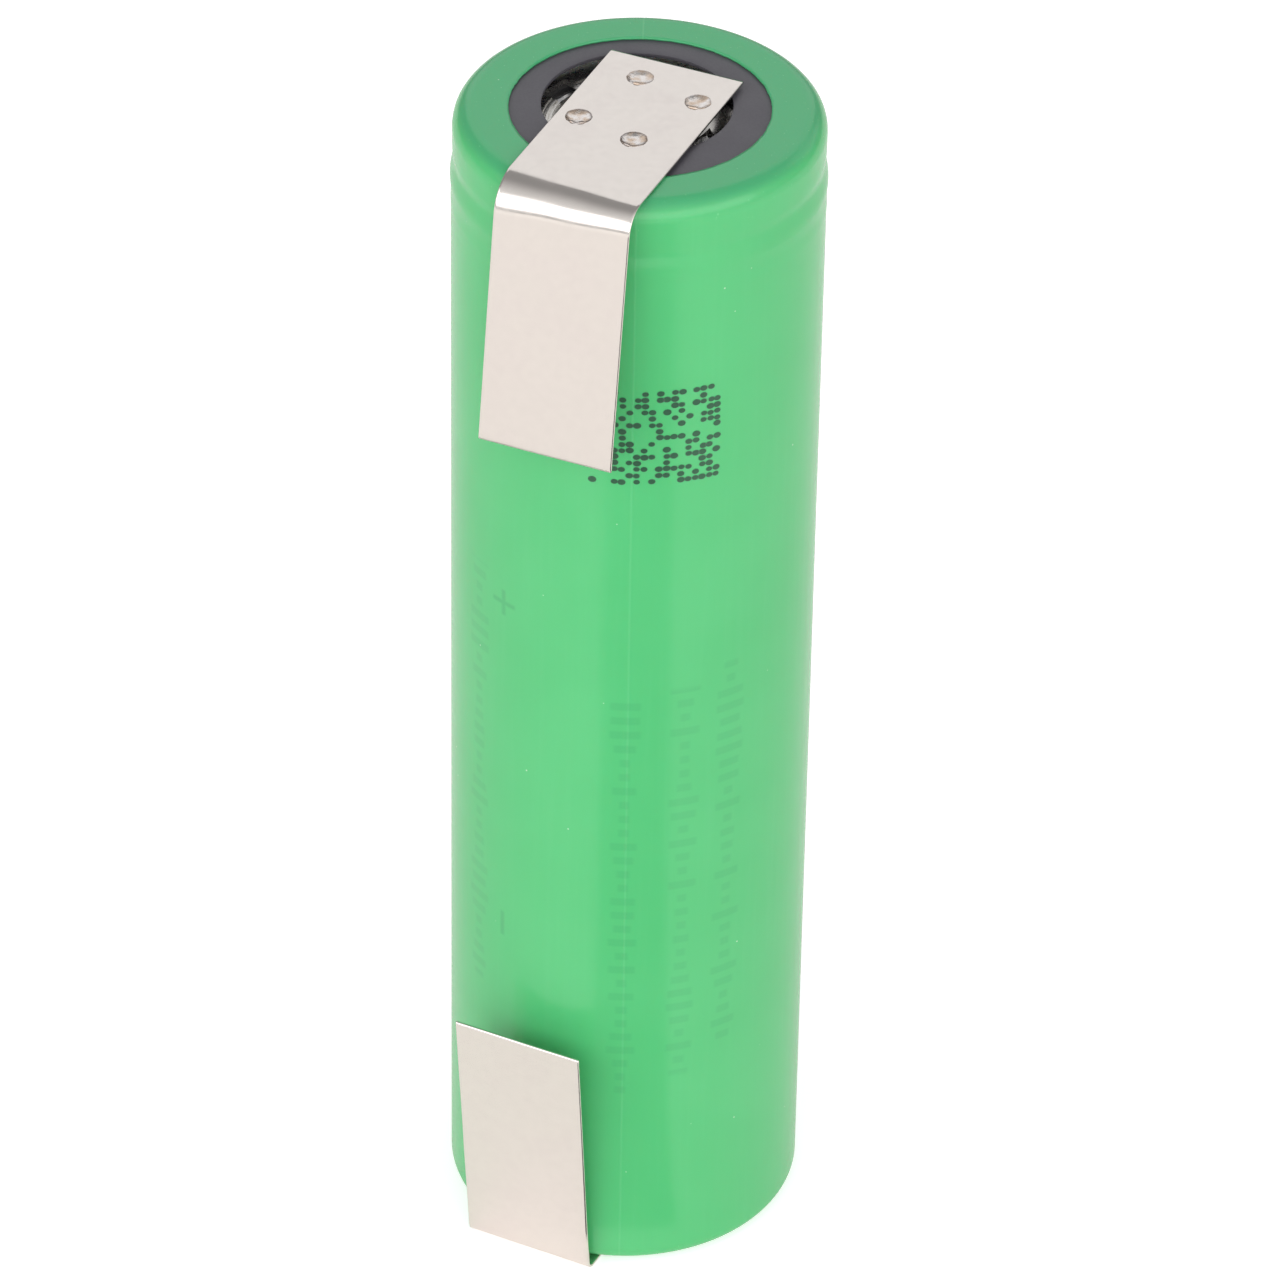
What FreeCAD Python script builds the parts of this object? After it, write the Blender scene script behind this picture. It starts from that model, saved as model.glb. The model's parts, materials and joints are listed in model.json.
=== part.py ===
"""Cylindrical lithium-ion cell of the 18650 size, sleeved, with a soft nickel solder tab on each end.

Millimetres, +Z up.  The origin is on the cell's axis, on the underside of the negative tab, where the
cell stands.  Both tabs fold up or down the same side of the cell.
"""
import FreeCAD, Part
import math
import os
import re

import Sketcher
from FreeCAD import Placement, Rotation, Vector

# Driving dimensions: alias, value.  Lengths are in millimetres and angles in degrees.
SIZES = [
    ("cell_height", 65.15),         # can bottom to cap top
    ("running_gap", 0.02),          # left between neighbours that touch in the real cell
    # can
    ("can_radius", 9.0),
    ("can_wall", 0.25),
    ("can_floor", 0.30),
    ("can_corner", 0.68),
    ("foot_radius", 6.4),           # flat foot in the middle of the can's base
    ("foot_rise", 0.14),            # from the foot up to the ring that the sleeve folds under
    ("bead_below_top", 3.4),        # cap top down to the middle of the bead
    ("bead_radius", 7.95),
    ("bead_flat", 0.35),            # half height of the bead's bottom
    ("bead_mouth", 0.95),           # half height of the bead's mouth
    ("bead_round", 0.28),
    ("crimp_radius", 8.91),
    ("crimp_corner", 0.95),
    ("lip_radius", 6.9),
    ("lip_below_top", 0.38),        # cap top down to the crimped lip
    # sleeve and washer
    ("sleeve_thickness", 0.10),
    ("sleeve_opening", 6.35),
    ("sleeve_base_opening", 6.9),
    ("sleeve_corner", 0.80),
    ("sleeve_shoulder", 1.08),
    ("sleeve_ridge", 0.05),
    ("washer_inner", 4.64),
    ("washer_outer", 7.5),
    ("washer_thickness", 0.20),
    ("washer_shift_x", -0.15),
    ("washer_shift_y", 0.50),
    # cap stack, clamped in the gasket
    ("stack_radius", 8.10),
    ("gasket_wall", 0.46),
    ("gasket_flange", 0.36),
    ("gasket_top_opening", 6.2),
    ("gasket_base_opening", 6.65),
    ("sheet", 0.30),                # cap, disc and PTC ring thickness
    ("button_radius", 3.35),
    ("button_root", 4.30),
    ("button_round", 0.22),
    ("rib_inner", 4.52),            # two low ribs pressed into the flange, round the button
    ("rib_outer", 4.86),
    ("rib_width", 0.20),
    ("rib_height", 0.06),
    ("window_width", 1.8),
    ("window_start", 3.40),
    ("window_end", 5.40),
    ("window_angle", -37.5),
    ("window_count", 6),
    ("ptc_inner", 5.2),
    ("dish_outer", 5.1),
    ("dish_inner", 4.3),
    ("dish_depth", 0.45),
    ("dimple_outer", 1.5),
    ("dimple_inner", 1.0),
    ("dimple_depth", 0.32),
    ("score_radius", 2.9),
    ("score_width", 0.30),
    ("score_depth", 0.12),
    ("plate_radius", 6.15),
    ("plate_thickness", 0.40),
    ("plate_hole", 0.60),
    ("plate_hole_circle", 3.6),
    ("plate_hole_count", 6),
    ("ring_inner", 5.3),
    ("ring_wall", 0.36),
    # wound roll
    ("roll_start", 1.5),
    ("roll_pitch", 0.50),
    ("roll_half_turns", 27),
    ("electrode_thickness", 0.16),
    ("separator_thickness", 0.05),
    ("roll_base", 0.95),
    ("roll_height", 59.0),
    ("anode_margin", 0.5),
    ("cathode_margin", 1.2),
    ("tape_thickness", 0.06),
    ("tape_margin", 6.0),
    ("pin_radius", 1.25),
    ("pin_wall", 0.15),
    ("pin_slit", 0.50),
    ("insulator_radius", 8.3),
    ("insulator_thickness", 0.25),
    ("insulator_gap", 0.10),
    ("insulator_bore", 1.7),
    ("insulator_hole", 0.75),
    ("insulator_hole_circle", 3.4),
    ("insulator_hole_count", 5),
    ("lead_width", 4.0),
    ("lead_thickness", 0.10),
    ("lead_slot_width", 4.4),
    ("lead_slot_depth", 0.7),
    ("cathode_lead_at", 6.1),
    ("anode_lead_at", -5.6),
    ("lead_run", 3.0),
    # solder tabs
    ("tab_thickness", 0.15),
    ("tab_width", 7.0),
    ("tab_back", 3.95),             # axis to the tab's far end
    ("fold_seam", 0.06),            # from the fold's end to the free leg that swings on it
    ("weld_radius", 0.66),
    ("positive_azimuth", -113.5),
    ("positive_offset", 0.2),
    ("positive_fold_at", 8.21),
    ("positive_bend", 1.25),
    ("positive_splay", 8.0),
    ("positive_leg", 12.4),
    ("positive_weld_rise", 0.03),
    ("negative_azimuth", -115.5),
    ("negative_offset", 0.85),
    ("negative_fold_at", 8.905),
    ("negative_bend", 0.45),
    ("negative_splay", 6.0),
    ("negative_leg", 14.7),
    ("negative_weld_rise", -0.02),
]

# Weld spots on a tab: along the tab towards its fold, and across it.
WELDS = {
    "positive": [(-2.16, -0.96), (-1.29, 2.46), (2.35, -2.18), (3.11, 1.05)],
    "negative": [(-2.2, -0.85), (-2.2, 2.55), (2.2, -0.85), (2.2, 2.55)],
}

# Levels up the cell, as expressions in the sheet's aliases.
CAP_TOP = "(tab_thickness + cell_height)"
FOOT = "tab_thickness"
BASE_RING = "(tab_thickness + foot_rise)"
FLOOR_TOP = "(tab_thickness + can_floor)"
BEAD = f"({CAP_TOP} - bead_below_top)"
LIP_TOP = f"({CAP_TOP} - lip_below_top)"
LIP_UNDER = f"({LIP_TOP} - can_wall)"
WASHER_BASE = f"({LIP_TOP} + running_gap)"
WASHER_TOP = f"({WASHER_BASE} + washer_thickness)"
SLEEVE_UNDER_TOP = f"({WASHER_TOP} + running_gap)"
SLEEVE_TOP = f"({SLEEVE_UNDER_TOP} + sleeve_thickness)"
SLEEVE_OVER_BASE = f"({BASE_RING} - running_gap)"
SLEEVE_BASE = f"({SLEEVE_OVER_BASE} - sleeve_thickness)"
GASKET_TOP = f"({LIP_UNDER} - running_gap)"
STACK_TOP = f"({GASKET_TOP} - gasket_flange)"
PTC_TOP = f"({STACK_TOP} - sheet)"
DISC_TOP = f"({PTC_TOP} - sheet)"
DISC_UNDER = f"({DISC_TOP} - sheet)"
GASKET_BASE = f"({DISC_UNDER} - gasket_flange)"
DIMPLE_UNDER = f"({DISC_UNDER} - dish_depth - dimple_depth)"
PLATE_UNDER = f"({DIMPLE_UNDER} - plate_thickness)"
ROLL_TOP = "(roll_base + roll_height)"
TOP_INSULATOR = f"({ROLL_TOP} + insulator_gap)"
BASE_INSULATOR = "(roll_base - insulator_gap - insulator_thickness)"

ZERO = "0"


class CellModel:
    """The document, its sheet of sizes and the ways its sub-parts are made."""

    def __init__(self):
        self.doc = FreeCAD.newDocument("cylindrical_cell")
        self.sheet = self.doc.addObject("Spreadsheet::Sheet", "Sizes")
        for row, (alias, number) in enumerate(SIZES, start=1):
            self.sheet.set(f"A{row}", alias)
            self.sheet.set(f"B{row}", str(number))
            self.sheet.setAlias(f"B{row}", alias)
        self.doc.recompute()
        self.aliases = {alias for alias, _ in SIZES}
        self.parts = []

    def bound(self, text):
        """An expression in the sheet's aliases as FreeCAD wants it, each alias with the sheet's name."""
        def named(match):
            word = match.group()
            return f"Sizes.{word}" if word in self.aliases else word

        return re.sub(r"[A-Za-z_]\w*", named, text)

    def number(self, text):
        """What an expression in the sheet's aliases comes to."""
        return float(self.sheet.evalExpression(self.bound(text)))

    def keep(self, part):
        self.parts.append(part)
        return part

    def body(self, label):
        body = self.doc.addObject("PartDesign::Body", label)
        body.Label = label
        return self.keep(body)

    def sketch(self, body, role, offset=ZERO):
        """A sketch on one of the body's own origin planes, moved along the plane's normal."""
        sketch = body.newObject("Sketcher::SketchObject", f"{body.Label}_sketch")
        plane = next(f for f in body.Origin.OriginFeatures if f.Role == role)
        sketch.AttachmentSupport = [(plane, "")]
        sketch.MapMode = "FlatFace"
        sketch.setExpression("AttachmentOffset.Base.z", self.bound(offset))
        return sketch

    def dimension(self, sketch, kind, geometry, point, text):
        """Ties one coordinate of a sketch point to an expression."""
        size = self.number(text)
        axis = -2 if kind == "DistanceX" else -1
        if abs(size) < 1e-9:
            sketch.addConstraint(Sketcher.Constraint("PointOnObject", geometry, point, axis))
            return
        ends = (-1, 1, geometry, point) if size > 0 else (geometry, point, -1, 1)
        index = sketch.addConstraint(Sketcher.Constraint(kind, *ends, abs(size)))
        sketch.setExpression(f"Constraints[{index}]", self.bound(text if size > 0 else f"-({text})"))

    def outline(self, sketch, points):
        """A closed outline of straight lines through points, each a pair of expressions."""
        at = [Vector(self.number(x), self.number(y), 0) for x, y in points]
        first = sketch.GeometryCount
        count = len(at)
        for i in range(count):
            sketch.addGeometry(Part.LineSegment(at[i], at[(i + 1) % count]), False)
        for i in range(count):
            following = first + (i + 1) % count
            sketch.addConstraint(Sketcher.Constraint("Coincident", first + i, 2, following, 1))
        for i, (x, y) in enumerate(points):
            self.dimension(sketch, "DistanceX", first + i, 1, x)
            self.dimension(sketch, "DistanceY", first + i, 1, y)
        return at

    def rectangle(self, sketch, x_low, x_high, y_low, y_high):
        return self.outline(sketch, [(x_low, y_low), (x_high, y_low), (x_high, y_high), (x_low, y_high)])

    def circle(self, sketch, x, y, radius):
        centre = Vector(self.number(x), self.number(y), 0)
        index = sketch.addGeometry(Part.Circle(centre, Vector(0, 0, 1), self.number(radius)), False)
        self.dimension(sketch, "DistanceX", index, 3, x)
        self.dimension(sketch, "DistanceY", index, 3, y)
        constraint = sketch.addConstraint(Sketcher.Constraint("Radius", index, self.number(radius)))
        sketch.setExpression(f"Constraints[{constraint}]", self.bound(radius))

    def turned(self, label, points, rounds=()):
        """A body turned about the cell's axis from (radius, height) points.

        rounds holds (radius expression, numbers of the points whose edges it rounds).
        """
        body = self.body(label)
        sketch = self.sketch(body, "XZ_Plane")
        at = self.outline(sketch, points)
        turn = body.newObject("PartDesign::Revolution", f"{label}_turn")
        turn.Profile = sketch
        turn.ReferenceAxis = (sketch, ["V_Axis"])
        turn.Angle = 360
        self.doc.recompute()
        for radius, corners in rounds:
            self.round_edges(body, [at[i] for i in corners], radius)
        return body

    def round_edges(self, body, corners, radius):
        """Rounds the circular edges that lie at the given (radius, height) corners."""
        base = body.Tip
        names = []
        for i, edge in enumerate(base.Shape.Edges, start=1):
            if not isinstance(edge.Curve, Part.Circle):
                continue
            here = (edge.Curve.Radius, edge.Curve.Center.z)
            if any(math.dist(here, (corner.x, corner.y)) < 1e-4 for corner in corners):
                names.append(f"Edge{i}")
        fillet = body.newObject("PartDesign::Fillet", f"{body.Label}_round")
        fillet.Base = (base, names)
        fillet.setExpression("Radius", self.bound(radius))
        self.doc.recompute()

    def pad(self, body, sketch, length, midplane=False, reverse=False):
        pad = body.newObject("PartDesign::Pad", f"{body.Label}_pad")
        pad.Profile = sketch
        pad.Midplane = midplane
        pad.Reversed = reverse
        pad.setExpression("Length", self.bound(length))
        self.doc.recompute()
        return pad

    def pocket(self, body, sketch, depth):
        """Cuts the sketch's outline upwards, along its plane's normal, and checks that material went."""
        before = body.Shape.Volume
        pocket = body.newObject("PartDesign::Pocket", f"{body.Label}_pocket")
        pocket.Profile = sketch
        pocket.Reversed = True
        pocket.setExpression("Length", self.bound(depth))
        self.doc.recompute()
        if not body.Shape.Volume < before:
            raise RuntimeError(f"{body.Label}: the pocket cut nothing")
        return pocket

    def around(self, body, pocket, count):
        """Repeats a pocket evenly around the cell's axis."""
        pattern = body.newObject("PartDesign::PolarPattern", f"{body.Label}_pattern")
        pattern.Originals = [pocket]
        pattern.Axis = (pocket.Profile[0], ["N_Axis"])
        pattern.Angle = 360
        pattern.setExpression("Occurrences", self.bound(count))
        body.Tip = pattern
        self.doc.recompute()

    def turn_by(self, body, angle):
        body.Placement = Placement(Vector(), Rotation(Vector(0, 0, 1), self.number(angle)))

    def export(self):
        """Writes every sub-part, after checking that nothing failed on the way."""
        self.doc.recompute()
        for item in self.doc.Objects:
            if {"Invalid", "Error"} & set(item.State):
                raise RuntimeError(f"{item.Label} failed: {item.State}")
        os.makedirs("parts", exist_ok=True)
        for part in self.parts:
            if part.Shape.isNull() or not part.Shape.isValid():
                raise RuntimeError(f"{part.Label} has no valid shape")
            part.Shape.exportStep(f"parts/{part.Label}.step")
            box = part.Shape.BoundBox
            print(f"{part.Label:22s} {len(part.Shape.Solids)} solids {part.Shape.Volume:9.3f} mm3 "
                  f"z {box.ZMin:.2f} to {box.ZMax:.2f}")


def can(m):
    """Deep-drawn steel can: flat foot, bead that carries the cap stack, and a crimped lip."""
    inner = "(can_radius - can_wall)"
    crimp_inner = "(crimp_radius - can_wall)"
    bead_inner = "(bead_radius - can_wall)"
    step = "0.4 * can_wall"
    m.turned("can", [
        (ZERO, FOOT),
        ("foot_radius", FOOT),
        ("foot_radius + foot_rise", BASE_RING),
        ("can_radius", BASE_RING),
        ("can_radius", f"{BEAD} - bead_mouth"),
        ("bead_radius", f"{BEAD} - bead_flat"),
        ("bead_radius", f"{BEAD} + bead_flat"),
        ("crimp_radius", f"{BEAD} + bead_mouth"),
        ("crimp_radius", LIP_TOP),
        ("lip_radius", LIP_TOP),
        ("lip_radius", LIP_UNDER),
        (crimp_inner, LIP_UNDER),
        (crimp_inner, f"{BEAD} + bead_mouth + {step}"),
        (bead_inner, f"{BEAD} + bead_flat + {step}"),
        (bead_inner, f"{BEAD} - bead_flat - {step}"),
        (inner, f"{BEAD} - bead_mouth - {step}"),
        (inner, f"{BASE_RING} + can_floor"),
        ("foot_radius - foot_rise", FLOOR_TOP),
        (ZERO, FLOOR_TOP),
    ], [
        ("can_corner", [3]),
        ("crimp_corner", [8]),
        ("bead_round", [4, 5, 6, 7, 12, 13, 14, 15]),
        ("crimp_corner - can_wall", [11]),
        ("can_corner - can_wall", [16]),
    ])


def sleeve(m):
    """Heat-shrink sleeve: one thin tube, folded over both ends, with a low ridge below the bead."""
    outer = "(can_radius + running_gap + sleeve_thickness)"
    inner = "(can_radius + running_gap)"
    ridge = f"({outer} + sleeve_ridge)"
    neck = f"({outer} - sleeve_ridge)"
    m.turned("heat_shrink_sleeve", [
        ("sleeve_base_opening", SLEEVE_BASE),
        (outer, SLEEVE_BASE),
        (outer, f"{BEAD} - 1.6 * bead_mouth"),
        (ridge, f"{BEAD} - bead_mouth"),
        (ridge, f"{BEAD} - bead_flat"),
        (neck, f"{BEAD} + bead_flat"),
        (neck, SLEEVE_TOP),
        ("sleeve_opening", SLEEVE_TOP),
        ("sleeve_opening", SLEEVE_UNDER_TOP),
        (f"{neck} - sleeve_thickness", SLEEVE_UNDER_TOP),
        (f"{neck} - sleeve_thickness", f"{BEAD} + bead_flat"),
        (f"{ridge} - sleeve_thickness", f"{BEAD} - bead_flat"),
        (f"{ridge} - sleeve_thickness", f"{BEAD} - bead_mouth"),
        (inner, f"{BEAD} - 1.6 * bead_mouth"),
        (inner, SLEEVE_OVER_BASE),
        ("sleeve_base_opening", SLEEVE_OVER_BASE),
    ], [
        ("sleeve_corner", [1]),
        ("sleeve_shoulder", [6]),
        ("sleeve_shoulder - sleeve_thickness", [9]),
        ("sleeve_corner - sleeve_thickness", [14]),
    ])


def washer(m):
    """Insulating washer, loose under the sleeve's top fold and so a little off the axis."""
    body = m.turned("insulating_washer", [
        ("washer_inner", WASHER_BASE),
        ("washer_outer", WASHER_BASE),
        ("washer_outer", WASHER_TOP),
        ("washer_inner", WASHER_TOP),
    ])
    body.setExpression("Placement.Base.x", m.bound("washer_shift_x"))
    body.setExpression("Placement.Base.y", m.bound("washer_shift_y"))


def gasket(m):
    """Sealing gasket: a channel that insulates the cap stack from the can."""
    outer = "(stack_radius + running_gap + gasket_wall)"
    inner = "(stack_radius + running_gap)"
    m.turned("crimp_gasket", [
        ("gasket_base_opening", GASKET_BASE),
        (outer, GASKET_BASE),
        (outer, GASKET_TOP),
        ("gasket_top_opening", GASKET_TOP),
        ("gasket_top_opening", STACK_TOP),
        (inner, STACK_TOP),
        (inner, DISC_UNDER),
        ("gasket_base_opening", DISC_UNDER),
    ], [("can_floor", [1]), ("crimp_corner - can_wall", [2])])


def cap(m):
    """Pressed positive cap: a flat button on a ribbed flange, with gas windows through its flank."""
    def rib(radius):
        """A low rib on the flange, from its outer foot to its inner one."""
        return [
            (f"{radius} + rib_width / 2", STACK_TOP),
            (f"{radius} + rib_width / 4", f"{STACK_TOP} + rib_height"),
            (f"{radius} - rib_width / 4", f"{STACK_TOP} + rib_height"),
            (f"{radius} - rib_width / 2", STACK_TOP),
        ]

    body = m.turned("positive_cap", [
        (ZERO, CAP_TOP),
        (ZERO, f"{CAP_TOP} - sheet"),
        ("button_radius - sheet", f"{CAP_TOP} - sheet"),
        ("button_root - sheet", PTC_TOP),
        ("stack_radius", PTC_TOP),
        ("stack_radius", STACK_TOP),
        *rib("rib_outer"),
        *rib("rib_inner"),
        ("button_root", STACK_TOP),
        ("button_radius", CAP_TOP),
    ], [("button_round", [15])])
    sketch = m.sketch(body, "XY_Plane", PTC_TOP)
    m.rectangle(sketch, "window_start", "window_end", "-window_width / 2", "window_width / 2")
    window = m.pocket(body, sketch, f"{CAP_TOP} - sheet - {PTC_TOP}")
    m.around(body, window, "window_count")
    m.turn_by(body, "window_angle")


def current_breaker(m):
    """PTC ring, scored vent disc, its insulator ring and the contact plate that its dimple is welded to."""
    m.turned("ptc_ring", [
        ("ptc_inner", DISC_TOP),
        ("stack_radius", DISC_TOP),
        ("stack_radius", PTC_TOP),
        ("ptc_inner", PTC_TOP),
    ])

    dish_top = f"({DISC_TOP} - dish_depth)"
    score_floor = f"({dish_top} - score_depth)"
    m.turned("vent_disc", [
        (ZERO, DIMPLE_UNDER),
        ("dimple_inner", DIMPLE_UNDER),
        ("dimple_outer", f"{DISC_UNDER} - dish_depth"),
        ("dish_inner", f"{DISC_UNDER} - dish_depth"),
        ("dish_outer", DISC_UNDER),
        ("stack_radius", DISC_UNDER),
        ("stack_radius", DISC_TOP),
        ("dish_outer - 0.2 * sheet", DISC_TOP),
        ("dish_inner - 0.2 * sheet", dish_top),
        ("score_radius + score_width / 2", dish_top),
        ("score_radius", score_floor),
        ("score_radius - score_width / 2", dish_top),
        ("dimple_outer - 0.2 * sheet", dish_top),
        ("dimple_inner - 0.2 * sheet", f"{DIMPLE_UNDER} + sheet"),
        (ZERO, f"{DIMPLE_UNDER} + sheet"),
    ])

    grip = "(plate_radius + running_gap)"
    m.turned("cid_insulator_ring", [
        ("ring_inner", f"{DIMPLE_UNDER} + running_gap"),
        (grip, f"{DIMPLE_UNDER} + running_gap"),
        (grip, PLATE_UNDER),
        (f"{grip} + ring_wall", PLATE_UNDER),
        (f"{grip} + ring_wall", f"{DISC_UNDER} - running_gap"),
        ("ring_inner", f"{DISC_UNDER} - running_gap"),
    ])

    plate = m.turned("cid_contact_plate", [
        (ZERO, PLATE_UNDER),
        ("plate_radius", PLATE_UNDER),
        ("plate_radius", DIMPLE_UNDER),
        (ZERO, DIMPLE_UNDER),
    ])
    sketch = m.sketch(plate, "XY_Plane", PLATE_UNDER)
    m.circle(sketch, "plate_hole_circle", ZERO, "plate_hole")
    m.around(plate, m.pocket(plate, sketch, "plate_thickness"), "plate_hole_count")


def insulator(m, label, base, lead_at):
    """Insulating disc over one end of the roll, with gas holes and a notch for the lead."""
    body = m.turned(label, [
        ("insulator_bore", base),
        ("insulator_radius", base),
        ("insulator_radius", f"{base} + insulator_thickness"),
        ("insulator_bore", f"{base} + insulator_thickness"),
    ])
    holes = m.sketch(body, "XY_Plane", base)
    m.circle(holes, ZERO, "insulator_hole_circle", "insulator_hole")
    m.around(body, m.pocket(body, holes, "insulator_thickness"), "insulator_hole_count")
    notch = m.sketch(body, "XY_Plane", base)
    deep = "lead_slot_depth / 2"
    wide = "lead_slot_width / 2"
    m.rectangle(notch, f"{lead_at} - {deep}", f"{lead_at} + {deep}", f"-{wide}", wide)
    m.pocket(body, notch, "insulator_thickness")


def lead(m, label, points):
    """A flat metal lead: its folded edge-on outline, padded to the lead's width."""
    body = m.body(label)
    sketch = m.sketch(body, "XZ_Plane")
    m.outline(sketch, points)
    m.pad(body, sketch, "lead_width", midplane=True)


def leads(m):
    """The roll's two leads: cathode up to the contact plate, anode down to the can's floor."""
    x = "cathode_lead_at"
    turn = f"({TOP_INSULATOR} + 2 * insulator_thickness)"
    under_plate = f"({PLATE_UNDER} - running_gap)"
    lead(m, "cathode_lead", [
        (f"{x} + lead_thickness", f"{ROLL_TOP} + running_gap"),
        (f"{x} + lead_thickness", f"{turn} + lead_thickness"),
        ("lead_thickness - lead_run", f"{turn} + lead_thickness"),
        ("lead_thickness - lead_run", f"{under_plate} - lead_thickness"),
        ("lead_run", f"{under_plate} - lead_thickness"),
        ("lead_run", under_plate),
        ("-lead_run", under_plate),
        ("-lead_run", turn),
        (x, turn),
        (x, f"{ROLL_TOP} + running_gap"),
    ])
    x = "anode_lead_at"
    lead(m, "anode_lead", [
        (x, "roll_base - running_gap"),
        (x, FLOOR_TOP),
        ("lead_run", FLOOR_TOP),
        ("lead_run", f"{FLOOR_TOP} + lead_thickness"),
        (f"{x} + lead_thickness", f"{FLOOR_TOP} + lead_thickness"),
        (f"{x} + lead_thickness", "roll_base - running_gap"),
    ])


def wound_layer(m, label, inset, thickness, first, last, margin):
    """One layer of the roll: a band of half circles whose radius grows by half the pitch each half turn."""
    start = m.number("roll_start") + m.number(inset)
    wide = m.number(thickness)
    pitch = m.number("roll_pitch")

    def half_circle(number, radius):
        """Half turn `number` at that radius: even ones run over the top, odd ones underneath."""
        side = 1 if number % 2 == 0 else -1
        middle = Vector(0 if side > 0 else pitch / 2, 0, 0)
        reach = Vector(side * radius, 0, 0)
        return Part.Arc(middle + reach, middle + Vector(0, side * radius, 0), middle - reach).toShape()

    inner = [half_circle(k, start + k * pitch / 2) for k in range(first, last)]
    outer = [half_circle(k, start + k * pitch / 2 + wide) for k in range(first, last)]
    ends = [
        Part.LineSegment(inner[0].Vertexes[0].Point, outer[0].Vertexes[0].Point).toShape(),
        Part.LineSegment(inner[-1].Vertexes[-1].Point, outer[-1].Vertexes[-1].Point).toShape(),
    ]
    band = Part.Face(Part.Wire(Part.__sortEdges__(inner + outer + ends)))
    gap = m.number(margin)
    layer = m.doc.addObject("Part::Feature", label)
    layer.Label = label
    layer.Shape = band.extrude(Vector(0, 0, m.number("roll_height") - 2 * gap))
    layer.Placement = Placement(Vector(0, 0, m.number("roll_base") + gap), Rotation())
    m.keep(layer)


def roll(m):
    """Electrodes and separators wound on the centre pin, with the tape that holds the roll shut."""
    count = int(m.number("roll_half_turns"))
    cathode = "(separator_thickness + running_gap)"
    outer_separator = f"({cathode} + electrode_thickness + running_gap)"
    anode = f"({outer_separator} + separator_thickness + running_gap)"
    wound_layer(m, "separator_inner", ZERO, "separator_thickness", 0, count, ZERO)
    wound_layer(m, "cathode_sheet", cathode, "electrode_thickness", 2, count - 2, "cathode_margin")
    wound_layer(m, "separator_outer", outer_separator, "separator_thickness", 0, count, ZERO)
    wound_layer(m, "anode_sheet", anode, "electrode_thickness", 1, count - 1, "anode_margin")

    tape = "(can_radius - can_wall - running_gap)"
    m.turned("roll_tape", [
        (f"{tape} - tape_thickness", "roll_base + tape_margin"),
        (tape, "roll_base + tape_margin"),
        (tape, f"{ROLL_TOP} - tape_margin"),
        (f"{tape} - tape_thickness", f"{ROLL_TOP} - tape_margin"),
    ])

    pin = m.turned("centre_pin", [
        ("pin_radius - pin_wall", "roll_base"),
        ("pin_radius", "roll_base"),
        ("pin_radius", ROLL_TOP),
        ("pin_radius - pin_wall", ROLL_TOP),
    ])
    slit = m.sketch(pin, "XY_Plane", "roll_base")
    m.rectangle(slit, ZERO, "2 * pin_radius", "-pin_slit / 2", "pin_slit / 2")
    m.pocket(pin, slit, "roll_height")


def solder_tab(m, end, terminal, flipped):
    """One nickel tab: the welded strip with its fold, the free leg that bends at the fold, and the welds.

    Each is made with X out towards the fold, Y across and Z away from the terminal face at 0.
    """
    thickness = "tab_thickness"
    low = f"({end}_offset - tab_width / 2)"
    high = f"({end}_offset + tab_width / 2)"
    fold_at = f"{end}_fold_at"
    bend = f"{end}_bend"

    flip = Rotation(Vector(1, 0, 0), 180 if flipped else 0)
    swing = Rotation(Vector(0, 0, 1), m.number(f"{end}_azimuth"))
    frame = Placement(Vector(0, 0, m.number(terminal)), swing.multiply(flip))

    tab = m.body(f"{end}_tab")
    plate = m.sketch(tab, "XY_Plane")
    m.rectangle(plate, "-tab_back", fold_at, low, high)
    for along, across in WELDS[end]:
        m.circle(plate, str(along), str(across), "weld_radius")
    m.pad(tab, plate, thickness)
    section = m.sketch(tab, "YZ_Plane", fold_at)
    section.setExpression("AttachmentOffset.Base.y", m.bound(f"-{bend}"))
    m.rectangle(section, low, high, bend, f"{bend} + {thickness}")
    fold = tab.newObject("PartDesign::Revolution", f"{end}_tab_fold")
    fold.Profile = section
    fold.ReferenceAxis = (section, ["H_Axis"])
    fold.setExpression("Angle", m.bound(f"90 - {end}_splay"))
    m.doc.recompute()
    if tab.Shape.BoundBox.XMax < m.number(fold_at) + m.number(bend) * math.cos(math.radians(20)):
        fold.Reversed = True
        m.doc.recompute()
    tab.Placement = frame

    leg = m.body(f"{end}_tab_leg")
    section = m.sketch(leg, "XY_Plane", "-fold_seam")
    m.rectangle(section, bend, f"{bend} + {thickness}", low, high)
    m.pad(leg, section, f"{end}_leg - fold_seam", reverse=True)
    fold_centre = Vector(m.number(fold_at), 0, -m.number(bend))
    splay = Rotation(Vector(0, 1, 0), -m.number(f"{end}_splay"))
    leg.Placement = frame.multiply(Placement(fold_centre, splay))

    nuggets = []
    for along, across in WELDS[end]:
        nugget = m.doc.addObject("Part::Cylinder", f"{end}_weld")
        nugget.setExpression("Radius", m.bound("weld_radius"))
        nugget.setExpression("Height", m.bound(f"{thickness} + {end}_weld_rise"))
        nugget.Placement.Base = Vector(along, across, 0)
        nuggets.append(nugget)
    welds = m.doc.addObject("Part::Compound", f"{end}_tab_welds")
    welds.Label = f"{end}_tab_welds"
    welds.Links = nuggets
    welds.Placement = frame
    m.keep(welds)


def main():
    m = CellModel()
    can(m)
    gasket(m)
    cap(m)
    current_breaker(m)
    insulator(m, "top_insulator", TOP_INSULATOR, "(cathode_lead_at + lead_thickness / 2)")
    insulator(m, "bottom_insulator", BASE_INSULATOR, "(anode_lead_at + lead_thickness / 2)")
    leads(m)
    roll(m)
    washer(m)
    sleeve(m)
    solder_tab(m, "positive", CAP_TOP, flipped=False)
    solder_tab(m, "negative", FOOT, flipped=True)
    m.export()


main()
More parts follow.
